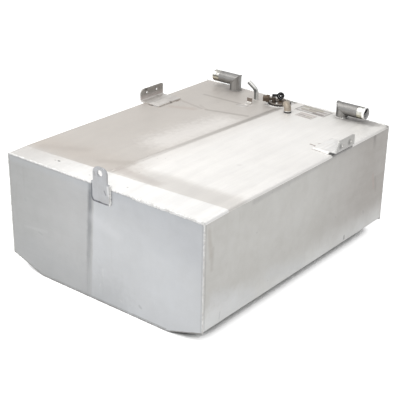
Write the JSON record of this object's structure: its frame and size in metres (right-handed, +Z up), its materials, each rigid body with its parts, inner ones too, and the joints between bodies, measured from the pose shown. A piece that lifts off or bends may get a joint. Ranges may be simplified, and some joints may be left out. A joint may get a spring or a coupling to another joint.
{
  "type": "boat fuel tank",
  "caption": "Welded aluminium marine fuel tank with chamfered bottom edges, filler spouts, vent, gauge sender with swinging float, pickup and mounting brackets.",
  "frame": {"origin": "middle of the flat bottom", "axes": "+Z up, +Y from the front plate with the lug to the rear, +X to the right seen from the front"},
  "size_m": [0.782, 0.9844, 0.4465],
  "materials": {
    "tank_sheet": "dull mill finish with handling marks",
    "top_sheet_finish": "dull mill finish, stained",
    "plate_sheet": "dull mill finish, streaked",
    "baffle_sheet": "mill finish",
    "lug_plate": "dull plate with weld marks",
    "bracket_sheet": "dull folded sheet",
    "filler_pipe": "matt oxidised pipe",
    "turned_end": "turned and bright",
    "vent_pipe": "drawn tube",
    "stained_tab": "brown stained",
    "ring_plate": "dull",
    "stained_flange": "bronze stained",
    "screw_steel": "worn screw heads",
    "bright_steel": "bright",
    "dark_plastic": "moulded",
    "float_foam": "closed cell foam skin",
    "brass_stud": "dull brass",
    "black_rubber": "black",
    "bright_washer": "bright",
    "elbow_casting": "beige weathered casting",
    "dark_fitting": "dark bronze",
    "brass_mesh": "fine mesh",
    "foil_plate": "foil with plain printed bars"
  },
  "bodies": {
    "tank": {"wrapper": "tank_sheet", "top_sheet": "top_sheet_finish", "front_plate": "plate_sheet", "rear_plate": "plate_sheet", "front_baffle": "baffle_sheet", "rear_baffle": "baffle_sheet", "front_lug": "lug_plate", "left_bracket": "bracket_sheet", "right_bracket": "bracket_sheet", "left_riser": "filler_pipe", "right_riser": "filler_pipe", "left_spout": "filler_pipe", "right_spout": "filler_pipe", "left_hose_end": "turned_end", "right_hose_end": "turned_end", "vent_tube": "vent_pipe", "ground_tab": "stained_tab", "sender_ring": "ring_plate", "sender_gasket": "black_rubber", "sender_flange": "stained_flange", "sender_screws": "screw_steel", "sender_stem": "bright_steel", "sensor_housing": "dark_plastic", "pivot_clip": "bright_steel", "terminal_studs": "brass_stud", "left_boot": "black_rubber", "centre_boot": "black_rubber", "sender_lead": "black_rubber", "pickup_grommet": "black_rubber", "pickup_collar": "bright_washer", "pickup_elbow": "elbow_casting", "elbow_nut": "dark_fitting", "dip_tube": "vent_pipe", "strainer": "brass_mesh", "outlet_port": "stained_flange", "outlet_fitting": "dark_fitting", "large_label": "foil_plate", "small_label": "foil_plate"},
    "float_swing": {"float_arm": "bright_steel", "float": "float_foam"}
  },
  "joints": [
    {"name": "float_hinge", "type": "hinge", "parent": "tank", "child": "float_swing", "pos_m": [-0.019, 0.4418, 0.192], "axis": [0, 1, 0], "range_deg": [0, 72]}
  ]
}
